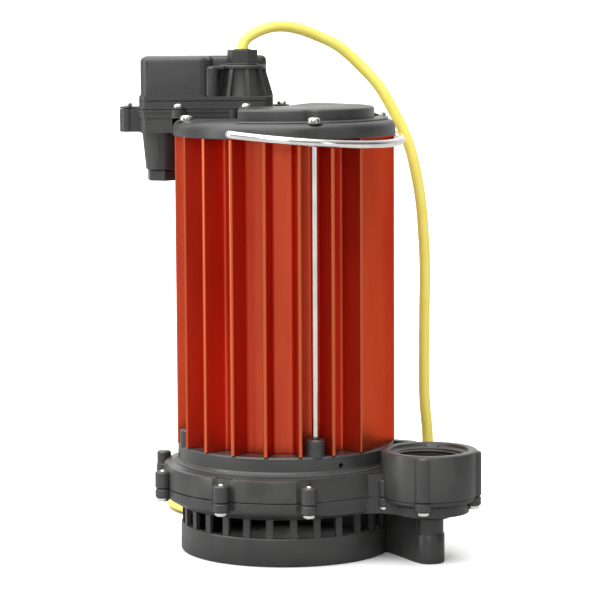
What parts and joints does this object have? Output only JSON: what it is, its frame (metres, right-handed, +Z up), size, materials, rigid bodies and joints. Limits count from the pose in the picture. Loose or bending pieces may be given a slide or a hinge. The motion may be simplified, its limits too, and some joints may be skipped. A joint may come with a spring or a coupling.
{
  "type": "submersible sump pump",
  "caption": "Upright submersible sump pump with a finned motor housing, strainer base, threaded side discharge, wire bail, switch box and yellow power cord.",
  "frame": {"origin": "on the motor's axis at the floor, at the centre of the strainer base's underside", "axes": "+Z up along the motor shaft; -Y is the front, where the weep hole and the visible fins are; +X is the side of the discharge"},
  "size_m": [0.2387, 0.2964, 0.3525],
  "materials": {
    "black_moulding": "satin black glass-filled moulding",
    "anodised_housing": "red-orange anodised extrusion",
    "stainless_steel": "polished stainless",
    "seal_rubber": "black nitrile rubber",
    "seal_carbon": "carbon seal face",
    "seal_ceramic": "ceramic seal face",
    "cast_aluminium": "cast aluminium",
    "bearing_steel": "ground bearing steel",
    "laminations": "electrical steel laminations",
    "winding_copper": "varnished copper winding",
    "terminal_plastic": "cream thermoset",
    "cord_jacket": "yellow flexible jacket",
    "plug_moulding": "yellow moulded plug",
    "plug_brass": "brass contacts"
  },
  "bodies": {
    "pump_body": {"strainer_base": "black_moulding", "volute_casing": "black_moulding", "volute_gasket": "seal_rubber", "volute_screw_1": "stainless_steel", "volute_screw_2": "stainless_steel", "volute_screw_3": "stainless_steel", "volute_screw_4": "stainless_steel", "volute_screw_5": "stainless_steel", "volute_screw_6": "stainless_steel", "volute_screw_7": "stainless_steel", "volute_screw_8": "stainless_steel", "volute_screw_9": "stainless_steel", "volute_screw_10": "stainless_steel", "volute_screw_11": "stainless_steel", "seal_seat": "seal_ceramic", "lower_bracket": "cast_aluminium", "lower_bearing_outer_race": "bearing_steel", "stator_core": "laminations", "winding_lower": "winding_copper", "winding_upper": "winding_copper", "upper_bearing_outer_race": "bearing_steel", "upper_bracket": "cast_aluminium", "housing_seal_lower": "seal_rubber", "motor_housing": "anodised_housing", "housing_seal_upper": "seal_rubber", "top_cover": "black_moulding", "tie_rod_1": "stainless_steel", "tie_rod_2": "stainless_steel", "tie_rod_3": "stainless_steel", "tie_rod_4": "stainless_steel", "switch_box_tray": "black_moulding", "lid_gasket": "seal_rubber", "switch_box_lid": "black_moulding", "lid_screw_1": "stainless_steel", "lid_screw_2": "stainless_steel", "lid_screw_3": "stainless_steel", "lid_screw_4": "stainless_steel", "lid_screw_5": "stainless_steel", "lid_screw_6": "stainless_steel", "gland_nut": "black_moulding", "gland_grommet": "seal_rubber", "port_plug": "black_moulding", "capacitor": "cast_aluminium", "terminal_block": "terminal_plastic", "power_cord": "cord_jacket", "cord_coil": "cord_jacket", "cord_tie": "seal_rubber", "cord_tail": "cord_jacket", "plug_body": "plug_moulding", "plug_blade_1": "plug_brass", "plug_blade_2": "plug_brass", "plug_ground_pin": "plug_brass"},
    "handle": {"bail_handle": "stainless_steel"},
    "rotor": {"motor_shaft": "stainless_steel", "rotor_core": "laminations", "impeller": "black_moulding", "seal_head": "seal_carbon", "seal_spring": "stainless_steel", "lower_bearing_inner_race": "bearing_steel", "upper_bearing_inner_race": "bearing_steel"}
  },
  "joints": [
    {"name": "handle_swing", "type": "hinge", "parent": "pump_body", "child": "handle", "pos_m": [0, 0, 0.2817], "axis": [-0.4695, -0.8829, 0], "range_deg": [0, 95]},
    {"name": "rotor_spin", "type": "hinge", "parent": "pump_body", "child": "rotor", "pos_m": [0, 0, 0.15], "axis": [0, 0, 1], "continuous": true}
  ]
}
